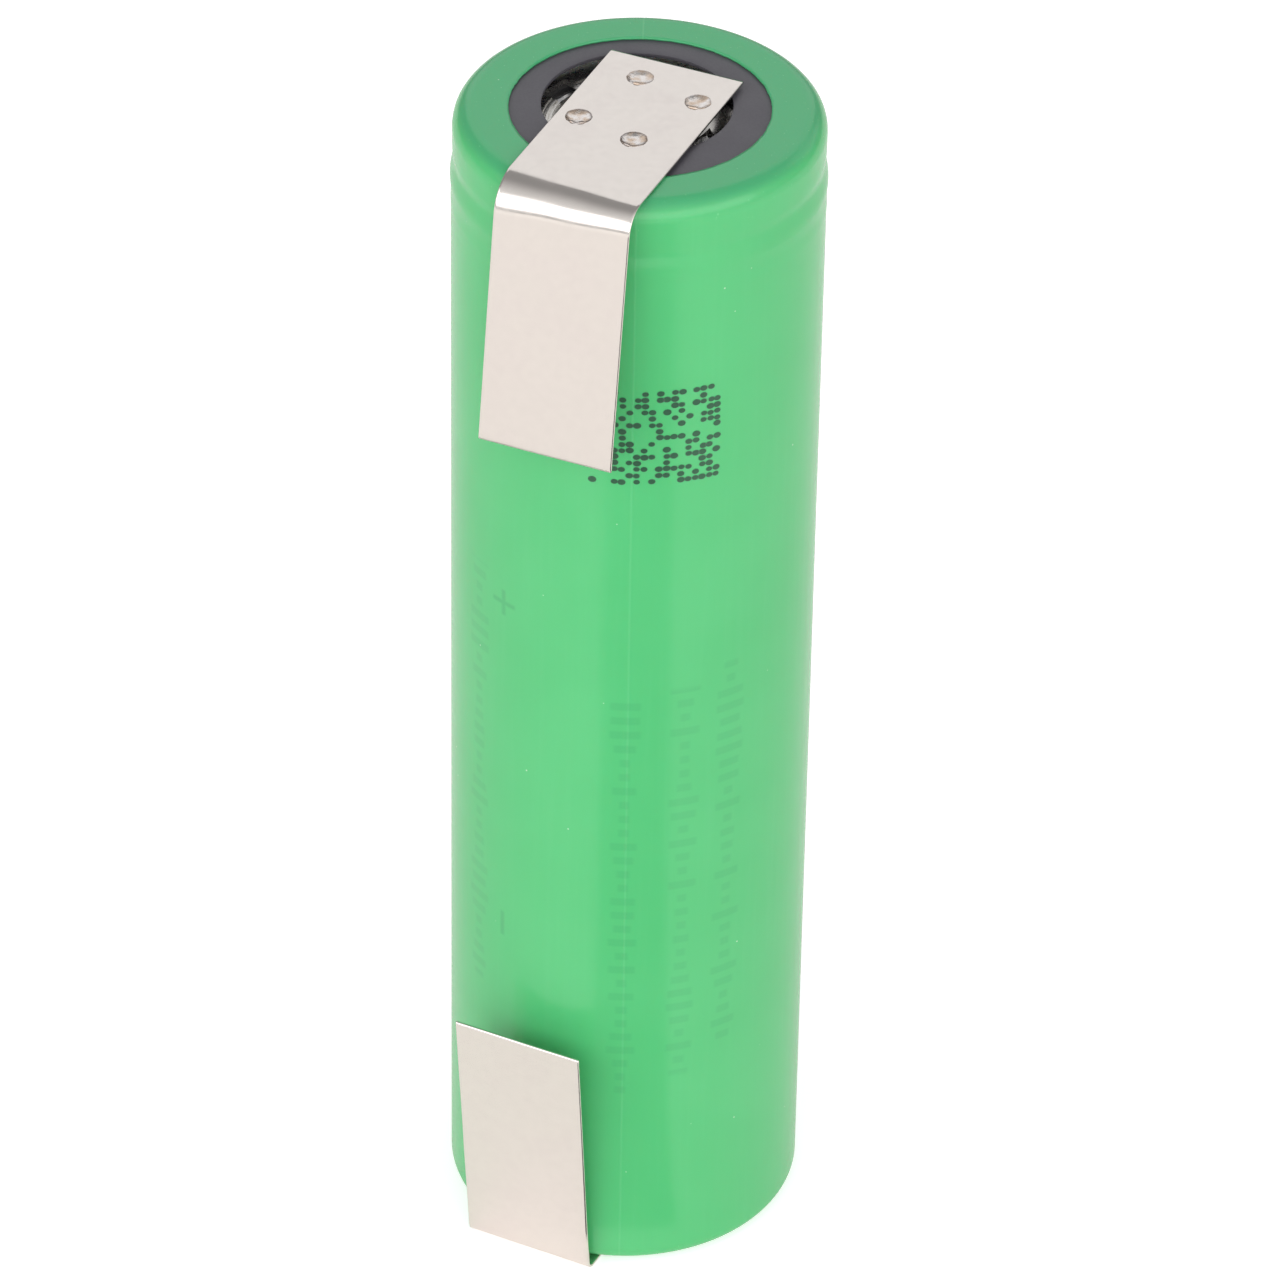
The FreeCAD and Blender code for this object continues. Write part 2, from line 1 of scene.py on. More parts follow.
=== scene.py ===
"""Looks of a sleeved cylindrical cell with two nickel solder tabs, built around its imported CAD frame.

Everything is in the frame's own axes.  The object's sizes are in millimetres and are turned into metres where
a mesh is made.
"""

import json
import math
import random

import bpy
from mathutils import Matrix, Vector


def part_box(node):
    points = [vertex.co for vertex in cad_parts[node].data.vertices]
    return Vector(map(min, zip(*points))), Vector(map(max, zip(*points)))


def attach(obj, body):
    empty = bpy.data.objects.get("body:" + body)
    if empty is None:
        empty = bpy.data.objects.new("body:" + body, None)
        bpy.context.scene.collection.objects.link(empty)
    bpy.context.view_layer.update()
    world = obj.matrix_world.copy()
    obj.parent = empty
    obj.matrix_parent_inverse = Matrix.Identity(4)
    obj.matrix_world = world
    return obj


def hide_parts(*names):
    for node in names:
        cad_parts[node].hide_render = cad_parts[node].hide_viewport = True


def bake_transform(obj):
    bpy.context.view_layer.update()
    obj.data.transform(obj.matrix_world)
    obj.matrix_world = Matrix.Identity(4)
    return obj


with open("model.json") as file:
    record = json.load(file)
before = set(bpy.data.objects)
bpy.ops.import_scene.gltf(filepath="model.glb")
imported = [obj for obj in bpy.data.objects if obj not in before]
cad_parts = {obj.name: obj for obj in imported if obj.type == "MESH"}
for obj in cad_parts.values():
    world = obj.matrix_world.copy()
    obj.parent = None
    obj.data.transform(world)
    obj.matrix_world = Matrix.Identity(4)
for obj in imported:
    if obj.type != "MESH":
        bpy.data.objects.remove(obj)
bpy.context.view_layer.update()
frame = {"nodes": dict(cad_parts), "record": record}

MM = 0.001
mounts = {mount["name"]: mount for mount in frame["record"]["mounts"]}


def box_mm(node):
    """The low and high corners of a CAD node's box, in millimetres."""
    low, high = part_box(node)
    return low / MM, high / MM


# ---------------------------------------------------------------- meshes

def add_mesh(name, points, faces, smooth=True):
    """A mesh object from points in millimetres and faces that already look outwards."""
    mesh = bpy.data.meshes.new(name)
    mesh.from_pydata([tuple(c * MM for c in p) for p in points], [], faces)
    mesh.validate()
    mesh.polygons.foreach_set("use_smooth", [smooth] * len(mesh.polygons))
    piece = bpy.data.objects.new(name, mesh)
    bpy.context.scene.collection.objects.link(piece)
    return piece


def grid_faces(rows, columns, close_rows=False, close_columns=False):
    """Quads over a grid of rows by columns of points, which may close on itself either way."""
    faces = []
    for i in range(rows if close_rows else rows - 1):
        for j in range(columns if close_columns else columns - 1):
            after_i, after_j = (i + 1) % rows, (j + 1) % columns
            faces.append((
                i * columns + j,
                i * columns + after_j,
                after_i * columns + after_j,
                after_i * columns + j,
            ))
    return faces


class Waves:
    """A smooth, repeatable field of small bumps: a sum of sines in random directions."""

    def __init__(self, seed, size, count=9):
        draw = random.Random(seed)
        self.terms = []
        for _ in range(count):
            angle = draw.uniform(0, math.pi)
            pitch = 2 * math.pi / (size * draw.uniform(0.7, 1.8))
            phase = draw.uniform(0, 2 * math.pi)
            self.terms.append((pitch * math.cos(angle), pitch * math.sin(angle), phase))

    def at(self, x, y):
        total = sum(math.sin(a * x + b * y + c) for a, b, c in self.terms)
        return total / len(self.terms)


def smoothstep(low, high, x):
    share = min(1.0, max(0.0, (x - low) / (high - low)))
    return share * share * (3 - 2 * share)


def bell(x, width):
    return math.exp(-(x / width) ** 2)


# ---------------------------------------------------------------- materials

class Shader:
    """A material whose nodes are added with short calls; every argument may be a number or a socket."""

    def __init__(self, name):
        self.material = bpy.data.materials.new(name)
        self.material.use_nodes = True
        self.tree = self.material.node_tree
        self.surface = self.tree.nodes["Principled BSDF"]
        coordinates = self.tree.nodes.new("ShaderNodeTexCoord").outputs["Object"]
        self.place = self.vector("SCALE", coordinates, scale=1 / MM)

    def give(self, socket, value):
        if isinstance(value, bpy.types.NodeSocket):
            self.tree.links.new(value, socket)
        elif socket.type == "RGBA":
            socket.default_value = (*value, 1)
        else:
            socket.default_value = value

    def vector(self, operation, a, b=None, scale=None):
        node = self.tree.nodes.new("ShaderNodeVectorMath")
        node.operation = operation
        self.give(node.inputs[0], a)
        if b is not None:
            self.give(node.inputs[1], b)
        if scale is not None:
            self.give(node.inputs["Scale"], scale)
        return node.outputs[0]

    def math(self, operation, a, b=0.0, c=0.0, clamp=False):
        node = self.tree.nodes.new("ShaderNodeMath")
        node.operation = operation
        node.use_clamp = clamp
        for socket, value in zip(node.inputs, (a, b, c)):
            self.give(socket, value)
        return node.outputs[0]

    def ramp(self, value, low, high, to_low=0.0, to_high=1.0):
        node = self.tree.nodes.new("ShaderNodeMapRange")
        node.interpolation_type = "SMOOTHSTEP"
        for socket, given in zip(node.inputs, (value, low, high, to_low, to_high)):
            self.give(socket, given)
        return node.outputs[0]

    def mix(self, share, a, b):
        node = self.tree.nodes.new("ShaderNodeMix")
        node.data_type = "RGBA"
        self.give(node.inputs["Factor"], share)
        self.give(node.inputs[6], a)
        self.give(node.inputs[7], b)
        return node.outputs[2]

    def noise(self, size, detail=3.0, stretch=(1, 1, 1), roughness=0.5):
        """Noise with features about `size` millimetres across, drawn out along an axis by `stretch`."""
        node = self.tree.nodes.new("ShaderNodeTexNoise")
        node.inputs["Scale"].default_value = 1 / size
        node.inputs["Detail"].default_value = detail
        node.inputs["Roughness"].default_value = roughness
        place = self.vector("DIVIDE", self.place, stretch) if stretch != (1, 1, 1) else self.place
        self.give(node.inputs["Vector"], place)
        return node.outputs["Fac"]

    def cells(self, size, randomness=1.0):
        node = self.tree.nodes.new("ShaderNodeTexVoronoi")
        node.inputs["Scale"].default_value = 1 / size
        node.inputs["Randomness"].default_value = randomness
        self.give(node.inputs["Vector"], self.place)
        return node.outputs["Distance"]

    def split(self, vector):
        node = self.tree.nodes.new("ShaderNodeSeparateXYZ")
        self.give(node.inputs[0], vector)
        return node.outputs

    def edges(self, radius=0.06):
        """1 on convex edges and corners, 0 on open faces."""
        bevel = self.tree.nodes.new("ShaderNodeBevel")
        bevel.samples = 4
        bevel.inputs["Radius"].default_value = radius * MM
        normal = self.tree.nodes.new("ShaderNodeNewGeometry").outputs["Normal"]
        dot = self.tree.nodes.new("ShaderNodeVectorMath")
        dot.operation = "DOT_PRODUCT"
        self.give(dot.inputs[0], bevel.outputs[0])
        self.give(dot.inputs[1], normal)
        return self.ramp(dot.outputs["Value"], 0.97, 0.78)

    def bump(self, height, distance, before=None):
        node = self.tree.nodes.new("ShaderNodeBump")
        node.inputs["Strength"].default_value = 1.0
        node.inputs["Distance"].default_value = distance * MM
        self.give(node.inputs["Height"], height)
        if before is not None:
            self.give(node.inputs["Normal"], before)
        return node.outputs[0]

    def finish(self, colour, roughness, normal=None, **settings):
        self.give(self.surface.inputs["Base Color"], colour)
        self.give(self.surface.inputs["Roughness"], roughness)
        if normal is not None:
            self.give(self.surface.inputs["Normal"], normal)
        for name, value in settings.items():
            self.surface.inputs[name.replace("_", " ").title().replace("Ior", "IOR")].default_value = value
        return self.material


def metal(name, colour, tint, roughness, grain=(1, 1, 1), mottle=1.6, scratch=0.25):
    """Bare or plated metal: mottled tint, drawn grain, fine scratches and brighter, smoother worn edges."""
    s = Shader(name)
    patches = s.noise(mottle, detail=4.0)
    lines = s.noise(0.10, detail=2.0, stretch=grain)
    specks = s.noise(0.045, detail=2.0)
    worn = s.math("MULTIPLY", s.edges(), s.ramp(s.noise(0.5), 0.3, 0.6))
    base = s.mix(s.ramp(patches, 0.35, 0.7), colour, tint)
    base = s.mix(s.math("MULTIPLY", worn, 0.5), base, tuple(min(1.0, c * 1.12) for c in colour))
    rough = s.ramp(patches, 0.3, 0.7, roughness * 0.85, roughness * 1.2)
    rough = s.math("ADD", rough, s.ramp(lines, 0.3, 0.7, -0.03, 0.03))
    rough = s.math("SUBTRACT", rough, s.math("MULTIPLY", worn, 0.3 * roughness))
    relief = s.math("ADD", s.math("MULTIPLY", lines, scratch), s.math("MULTIPLY", specks, 0.12))
    return s.finish(base, rough, s.bump(relief, 0.001), metallic=1.0)


def plastic(name, colour, tint, roughness, grain=0.2, relief=0.004, wear=0.25, **settings):
    """Moulded or cut plastic, film or fibre: slow colour drift, fine grain and scuffed edges."""
    s = Shader(name)
    drift = s.noise(2.5, detail=4.0)
    fine = s.noise(grain, detail=4.0, roughness=0.6)
    worn = s.math("MULTIPLY", s.edges(), s.ramp(s.noise(0.7), 0.35, 0.6))
    base = s.mix(s.ramp(drift, 0.3, 0.7), colour, tint)
    base = s.mix(s.math("MULTIPLY", worn, wear), base, tuple(c + (1 - c) * 0.35 for c in colour))
    rough = s.ramp(fine, 0.3, 0.7, roughness - 0.05, roughness + 0.06)
    rough = s.math("ADD", rough, s.math("MULTIPLY", worn, 0.12))
    return s.finish(base, rough, s.bump(fine, relief), **settings)


# ---------------------------------------------------------------- heat-shrink sleeve

SLEEVE_LOW, SLEEVE_HIGH = box_mm("heat_shrink_sleeve")
SLEEVE = {
    "radius": 9.12,
    "thickness": 0.10,
    "base": SLEEVE_LOW.z,
    "top": SLEEVE_HIGH.z,
    "base_opening": 6.9,
    "top_opening": 6.35,
    "corner": 0.80,
    "shoulder": 1.08,
    "neck": 9.06,           # radius above the can's bead
    "narrows": (61.7, 62.7),
    "fine_from": 59.4,      # rows of points are closer together above this height
    "turns": 300,           # points round the sleeve
}
RIPPLES = ((61.55, 0.045, 0.42), (62.55, -0.05, 0.38), (60.2, 0.012, 0.3))     # (height, rise, half width)
SKIN = {
    "wave": 0.006,
    "pucker": 0.010,
    "crease": 0.012,
    "crease_width": 0.06,
    "highest": 0.02,        # no wave or crease stands higher than this
    "edge_band": 0.6,       # how far out from the top opening its raggedness reaches
    "ragged": 0.03,
    "nicks": 0.02,
}
CREASES = (math.radians(-90.7), math.radians(89.3))     # the flat tubing's two fold lines


def sleeve_profile():
    """(radius, height, outward normal) along the sleeve's outside, from its base opening to its top one."""
    radius, neck = SLEEVE["radius"], SLEEVE["neck"]
    corner, shoulder = SLEEVE["corner"], SLEEVE["shoulder"]
    base, top = SLEEVE["base"], SLEEVE["top"]
    opening, fine_from = SLEEVE["base_opening"], SLEEVE["fine_from"]
    profile = []
    for i in range(7):
        profile.append((opening + (radius - corner - opening) * i / 7, base, (0, -1)))
    for i in range(13):
        angle = math.radians(90 * i / 12)
        away = (math.sin(angle), -math.cos(angle))
        profile.append((radius - corner + corner * away[0], base + corner + corner * away[1], away))
    straight_top = top - shoulder
    heights = [base + corner + (fine_from - base - corner) * i / 52 for i in range(1, 53)]
    heights += [fine_from + (straight_top - fine_from) * i / 56 for i in range(1, 56)]
    for z in heights:
        here = radius + (neck - radius) * smoothstep(*SLEEVE["narrows"], z)
        for height, rise, width in RIPPLES:
            here += rise * bell(z - height, width)
        profile.append((here, z, (1, 0)))
    for i in range(25):
        angle = math.radians(90 * i / 24)
        away = (math.cos(angle), math.sin(angle))
        profile.append((neck - shoulder + shoulder * away[0], straight_top + shoulder * away[1], away))
    flat = neck - shoulder
    for i in range(1, 11):
        profile.append((flat + (SLEEVE["top_opening"] - flat) * i / 10, top, (0, 1)))
    return profile


def sleeve_angles():
    """Angles round the sleeve, closer together at the two crease lines."""
    angles = [2 * math.pi * i / SLEEVE["turns"] - math.pi for i in range(SLEEVE["turns"])]
    for crease in CREASES:
        angles += [crease + math.radians(step) for step in (-1.0, -0.6, -0.3, 0.0, 0.3, 0.6, 1.0)]
    return sorted(set(angles))


def build_sleeve():
    """A closed, thin, slightly uneven skin: cut edges that wander, drawn waves, creases and soft puckers."""
    profile = sleeve_profile()
    slow = Waves(11, 16.0)
    pucker = Waves(12, 2.2)
    ragged = Waves(13, 1.1)
    nicks = Waves(14, 0.35)
    angles = sleeve_angles()
    outer, inner = [], []
    for radius, z, away in profile:
        near_edge = 0.0
        if away[1]:
            near_edge = smoothstep(SLEEVE["top_opening"] + SKIN["edge_band"], SLEEVE["top_opening"], radius)
        near_shoulder = bell(z - SLEEVE["top"] + 1.2, 1.1)
        for angle in angles:
            arc = angle * SLEEVE["radius"]
            lift = SKIN["wave"] * slow.at(arc, z) + SKIN["pucker"] * near_shoulder * pucker.at(arc, 3 * z)
            if away == (1, 0):
                for crease in CREASES:
                    beside = (angle - crease) * SLEEVE["radius"]
                    lift += SKIN["crease"] * bell(beside, SKIN["crease_width"])
            lift = min(lift, SKIN["highest"])
            uneven = SKIN["ragged"] * ragged.at(arc, 0.0) + SKIN["nicks"] * nicks.at(arc, 0.0)
            here = radius + near_edge * uneven
            r = here + lift * away[0]
            up = z + min(0.0, lift) * away[1]
            outer.append((r * math.cos(angle), r * math.sin(angle), up))
            r -= SLEEVE["thickness"] * away[0]
            up -= SLEEVE["thickness"] * away[1]
            inner.append((r * math.cos(angle), r * math.sin(angle), up))
    count, turns = len(profile), len(angles)
    rows = []
    for i in range(count):
        rows += outer[i * turns:(i + 1) * turns]
    for i in reversed(range(count)):
        rows += inner[i * turns:(i + 1) * turns]
    faces = grid_faces(2 * count, turns, close_rows=True, close_columns=True)
    piece = add_mesh("shrink_sleeve_skin", rows, faces)
    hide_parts("heat_shrink_sleeve")
    return piece


FILM_GREEN = (0.092, 0.520, 0.190)
FILM_DEEP = (0.078, 0.495, 0.172)
FILM_PALE = (0.165, 0.590, 0.280)
FILM_FOLDED = (0.070, 0.425, 0.178)     # the top fold, over the dark washer
UNDER_INK = (0.055, 0.330, 0.135)
DUST = (0.62, 0.80, 0.66)
FOLDED_OVER = (64.75, 65.15)            # heights between which the film's colour turns to its folded colour
RUBBED = ((62.6, 64.6), (1.4, 0.4))     # heights over which wear grows towards the two rims


def sleeve_material():
    """Green shrink film: milky drift, drawing streaks, creases and faint marks from the can beneath."""
    s = Shader("sleeve_film")
    x, y, z = s.split(s.place)
    angle = s.math("ARCTAN2", y, x)
    drift = s.noise(7.0, detail=2.0)
    streaks = s.noise(0.35, detail=2.0, stretch=(1, 1, 26))
    colour = s.mix(s.ramp(drift, 0.3, 0.7, 0.0, 0.6), FILM_GREEN, FILM_DEEP)
    colour = s.mix(s.ramp(streaks, 0.45, 0.8, 0.0, 0.05), colour, FILM_PALE)
    colour = s.mix(s.ramp(z, *FOLDED_OVER), colour, FILM_FOLDED)

    for crease in CREASES:
        beside = s.math("ABSOLUTE", s.math("SUBTRACT", angle, crease))
        colour = s.mix(s.ramp(beside, 0.009, 0.002, 0.0, 0.22), colour, FILM_PALE)

    colour = s.mix(s.math("MULTIPLY", under_marks(s, angle, z), 0.45), colour, UNDER_INK)

    scuffs = s.ramp(s.noise(0.12, detail=4.0, stretch=(1, 1, 3)), 0.66, 0.78)
    on_rim = s.math("ADD", s.ramp(z, *RUBBED[0]), s.ramp(z, *RUBBED[1]), clamp=True)
    worn = s.math("MULTIPLY", scuffs, s.math("ADD", s.math("MULTIPLY", on_rim, 0.30), 0.05))
    colour = s.mix(worn, colour, FILM_PALE)
    dust = s.ramp(s.cells(1.7), 0.035, 0.012, 0.0, 0.7)
    colour = s.mix(dust, colour, DUST)

    fine = s.noise(0.30, detail=2.0)
    rough = s.math("ADD", s.ramp(fine, 0.3, 0.7, 0.19, 0.22), s.math("MULTIPLY", worn, 0.4))
    relief = s.bump(fine, 0.0005)
    relief = s.bump(streaks, 0.0008, before=relief)
    relief = s.bump(dust, 0.010, before=relief)
    return s.finish(colour, rough, relief, ior=1.5, subsurface_weight=0.12, subsurface_scale=0.6 * MM)


SIGNS = {"at": -134, "plus": 40.5, "minus": 20.5, "long": 0.75, "thin": 0.13, "edge": 0.10}
# Each row of ticks: degrees round the sleeve, lowest height and highest height.
TICK_ROWS = ((-57.0, 14.0, 38.0), (-72.5, 12.5, 37.0), (-91.5, 11.5, 36.5), (-146.0, 16.0, 42.0))
TICKS_PER_MM = 1.15


def under_marks(s, angle, z):
    """Faint generic marks on the can, seen through the film: a plus, a minus and rows of plain ticks."""
    def away_from(centre):
        across = s.math("ABSOLUTE", s.math("SUBTRACT", angle, math.radians(centre)))
        return s.math("MULTIPLY", across, SLEEVE["radius"])

    def soft_box(height, half_width, half_height):
        across = away_from(SIGNS["at"])
        along = s.math("ABSOLUTE", s.math("SUBTRACT", z, height))
        edge = SIGNS["edge"]
        inside = s.ramp(across, half_width + edge, half_width - edge)
        return s.math("MULTIPLY", inside, s.ramp(along, half_height + edge, half_height - edge))

    long, thin = SIGNS["long"], SIGNS["thin"]
    marks = s.math("MAXIMUM", soft_box(SIGNS["plus"], long, thin), soft_box(SIGNS["plus"], thin, long))
    marks = s.math("MAXIMUM", marks, soft_box(SIGNS["minus"], thin, long))
    for row, (centre, low, high) in enumerate(TICK_ROWS):
        place = s.math("MULTIPLY", z, TICKS_PER_MM)
        cell = s.math("FLOOR", place)
        chance = s.tree.nodes.new("ShaderNodeTexWhiteNoise")
        chance.noise_dimensions = "1D"
        s.give(chance.inputs["W"], s.math("ADD", cell, 37.0 * (row + 1)))
        width = s.ramp(chance.outputs["Value"], 0.1, 1.0, 0.25, 0.80)
        inside = s.ramp(s.math("SUBTRACT", away_from(centre), width), 0.12, -0.12)
        phase = s.math("ABSOLUTE", s.math("SUBTRACT", s.math("FRACT", place), 0.5))
        tick = s.math("MULTIPLY", inside, s.ramp(phase, 0.36, 0.16))
        span = s.math("MULTIPLY", s.ramp(z, low - 0.2, low + 0.2), s.ramp(z, high + 0.2, high - 0.2))
        tick = s.math("MULTIPLY", s.math("MULTIPLY", tick, span), 0.50)
        marks = s.math("MAXIMUM", marks, tick)
    return marks


# ---------------------------------------------------------------- printed dot patch

PATCH = {
    "from": -104.0, "to": -63.2,                # degrees round the sleeve
    "low": 49.4, "high": 54.9, "columns": 18, "rows": 15,
    "printed": 0.58,        # share of the places that hold a dot
    "dot": 0.165, "wide": 1.12, "tall": 0.92,   # radius, and how far it is stretched each way
    "sides": 12,
    "ink": 0.018, "depth": 0.012,               # a dot's height over the sleeve, and its thickness
}


def build_dot_patch():
    """A printed patch of dots in no meaningful order: thin ink discs that follow the sleeve."""
    draw = random.Random(71)
    points, faces = [], []
    sides = PATCH["sides"]
    ink = SLEEVE["radius"] + PATCH["ink"]
    span, rise = PATCH["to"] - PATCH["from"], PATCH["high"] - PATCH["low"]
    for row in range(PATCH["rows"]):
        for column in range(PATCH["columns"]):
            if draw.random() > PATCH["printed"]:
                continue
            angle = math.radians(PATCH["from"] + span * (column + 0.5) / PATCH["columns"])
            z = PATCH["low"] + rise * (row + 0.5) / PATCH["rows"]
            angle += draw.gauss(0, 0.0016)
            z += draw.gauss(0, 0.015)
            size = PATCH["dot"] * draw.uniform(0.88, 1.15)
            first = len(points)
            for radius in (ink - PATCH["depth"], ink):
                for k in range(sides):
                    turn = 2 * math.pi * k / sides
                    a = angle + PATCH["wide"] * size * math.cos(turn) / SLEEVE["radius"]
                    up = z + PATCH["tall"] * size * math.sin(turn)
                    points.append((radius * math.cos(a), radius * math.sin(a), up))
            under = [first + k for k in range(sides)]
            over = [first + sides + k for k in range(sides)]
            faces.append(tuple(over))
            faces.append(tuple(reversed(under)))
            for k in range(sides):
                faces.append((under[k], under[(k + 1) % sides], over[(k + 1) % sides], over[k]))
    piece = add_mesh("printed_dots", points, faces, smooth=False)
    return piece


# ---------------------------------------------------------------- insulating washer

WASHER = {"hole": 4.64, "soft": 0.035, "ragged": 0.015, "warp": 0.008, "turns": 200}


def build_washer():
    """The fibre washer: softened edges and a slight warp."""
    low, high = box_mm("insulating_washer")
    centre = (low + high) / 2
    outer = (high.x - low.x) / 2
    inner, soft, bow = WASHER["hole"], WASHER["soft"], WASHER["warp"]
    base, top = low.z, high.z
    corners = ((outer, base, -1, 1), (outer, top, -1, -1), (inner, top, 1, -1), (inner, base, 1, 1))
    section = []
    for r, z, dr, dz in corners:
        middle = (r + dr * soft, z + dz * soft)
        start = {(-1, 1): -90, (-1, -1): 0, (1, -1): 90, (1, 1): 180}[(dr, dz)]
        for step in range(4):
            angle = math.radians(start + 30 * step)
            section.append((middle[0] + soft * math.cos(angle), middle[1] + soft * math.sin(angle)))
        if (dr, dz) == (-1, -1):
            for step in range(1, 8):
                section.append((outer - soft + (inner - outer + 2 * soft) * step / 8, top))
    warp = Waves(21, 9.0)
    rough_cut = Waves(22, 1.3)
    turns = WASHER["turns"]
    points = []
    for r, z in section:
        for k in range(turns):
            angle = 2 * math.pi * k / turns
            here = r + (WASHER["ragged"] * rough_cut.at(angle * r, 0) if r < inner + 0.2 else 0)
            x, y = here * math.cos(angle), here * math.sin(angle)
            points.append((centre.x + x, centre.y + y, z - bow + bow * warp.at(x, y)))
    faces = grid_faces(len(section), turns, close_rows=True, close_columns=True)
    piece = add_mesh("fibre_washer", points, faces)
    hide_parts("insulating_washer")
    return piece


# ---------------------------------------------------------------- solder tabs

STRIP = {
    "thickness": 0.15, "width": 7.0, "soft": 0.02,
    "back": 3.95,           # how far the strip reaches behind the cell's axis
    "plate_wave": 0.010, "leg_wave": 0.022, "fine_wave": 0.002,
    "calm": (-3.9, -2.0),   # the waves grow over this stretch from the strip's far end
}
DENT = {"depth": 0.10, "floor": 0.45, "rim": 0.64, "dip": 0.006, "spread": 1.2}     # under each weld
# terminal is the height of the face that the strip is welded to, and offset is how far it sits to one side.
# fold_at is where the plate ends and the CAD part's fold starts, outwards from the axis, and bend is that
# fold's middle radius.  This skin's fold has the middle radius round, give or take uneven at its two sides.
# leg is the straight leg's length, proud is the most that a weld's rim stands above the strip, and welds are
# (outwards, sideways) places from the axis.
TABS = {
    "positive": {"up": 1, "terminal": box_mm("positive_tab")[1].z - STRIP["thickness"], "offset": 0.2,
                 "fold_at": 8.21, "bend": 1.325, "round": 1.55, "uneven": 0.27, "leg": 12.4,
                 "proud": 0.070,
                 "welds": ((-2.16, -0.96), (-1.29, 2.46), (2.35, -2.18), (3.11, 1.05))},
    "negative": {"up": -1, "terminal": STRIP["thickness"], "offset": -0.85,
                 "fold_at": 8.905, "bend": 0.525, "round": 0.525, "uneven": 0.04, "leg": 14.7,
                 "proud": -0.004,
                 "welds": ((-2.2, 0.85), (-2.2, -2.55), (2.2, 0.85), (2.2, -2.55))},
}
WELD = {
    "radius": 0.66, "rim_at": 0.93, "crater": 0.055, "rim": 0.030, "ripple": 0.010, "bead": 0.065, "beads": 7,
    "skirt": ((1.0, 0.03), (0.985, 0.07)),      # (share of the radius, depth) of its sunk edge
    "root": 0.11,
}


class TabShape:
    """Where a tab's strip runs: along it from its far end, over the fold and down its leg."""

    def __init__(self, end):
        self.end = end
        self.size = TABS[end]
        outward = Vector(mounts[f"{end}_solder_face"]["axis"])
        self.splay = math.asin(abs(outward.z))
        self.out = Vector((outward.x, outward.y, 0)).normalized()
        self.across = Vector((-self.out.y, self.out.x, 0))
        self.turn = math.pi / 2 - self.splay
        tangent = self.size["bend"] * math.tan(self.turn / 2)
        self.corner = self.size["fold_at"] + tangent

    def bend_at(self, y):
        """The fold's middle radius, which is larger on one side than on the other."""
        lean = y / (STRIP["width"] / 2) - 0.11 * math.sin(1.7 * y)
        return self.size["round"] - self.size["uneven"] * lean

    def path(self, share, y):
        """(out, up, normal) of the strip's middle, y from its centre line.

        share runs from -1 to 0 on the plate, from 0 to 1 over the fold and from 1 to 2 down the leg.
        """
        middle = STRIP["thickness"] / 2
        bend = self.bend_at(y)
        tangent = bend * math.tan(self.turn / 2)
        fold_at = self.corner - tangent
        if share <= 0:
            return fold_at + share * (fold_at + STRIP["back"]), middle, (0.0, 1.0)
        centre = (fold_at, middle - bend)
        if share <= 1:
            angle = share * self.turn
            away = (math.sin(angle), math.cos(angle))
            return centre[0] + bend * away[0], centre[1] + bend * away[1], away
        away = (math.sin(self.turn), math.cos(self.turn))
        down = (away[1], -away[0])
        left = self.size["leg"] + self.size["bend"] * math.tan(self.turn / 2) - tangent
        run = (share - 1) * left
        out = centre[0] + bend * away[0] + run * down[0]
        up = centre[1] + bend * away[1] + run * down[1]
        return out, up, away

    def place(self, out, y, up):
        """A point of the tab in the frame, in millimetres."""
        flat = self.out * out + self.across * (y + self.size["offset"])
        return (flat.x, flat.y, self.size["terminal"] + self.size["up"] * up)

    def blend_points(self):
        """Where the strip stops riding on the cell, and where it rides on the leg alone."""
        start = self.place(self.size["fold_at"] - 0.15, 0, STRIP["thickness"] / 2)
        out, up, _ = self.path(1.0, 0)
        return start, self.place(out, 0, up)


def weld_height(index, distance, angle):
    """Height of a spot weld's surface above its strip, by distance and angle from its middle."""
    draw = random.Random(300 + index)
    side = draw.uniform(-1.0, -0.2)
    beads = [
        (side + draw.uniform(-0.9, 0.9), draw.uniform(0.88, 1.0), draw.uniform(0.07, 0.13))
        for _ in range(WELD["beads"])
    ]
    ripple = Waves(310 + index, 0.45, count=5)
    x, y = distance * math.cos(angle), distance * math.sin(angle)
    radius = WELD["radius"]
    r = distance / radius
    height = -WELD["crater"] * (1 - smoothstep(0.35, 0.95, r)) + WELD["ripple"] * ripple.at(x, y)
    height += WELD["rim"] * bell(r - WELD["rim_at"], 0.10) * (0.6 + 0.4 * math.cos(angle - side))
    for turn, out, size in beads:
        gap = math.hypot(x - out * radius * math.cos(turn), y - out * radius * math.sin(turn))
        height += WELD["bead"] * bell(gap, size * 0.8)
    return height


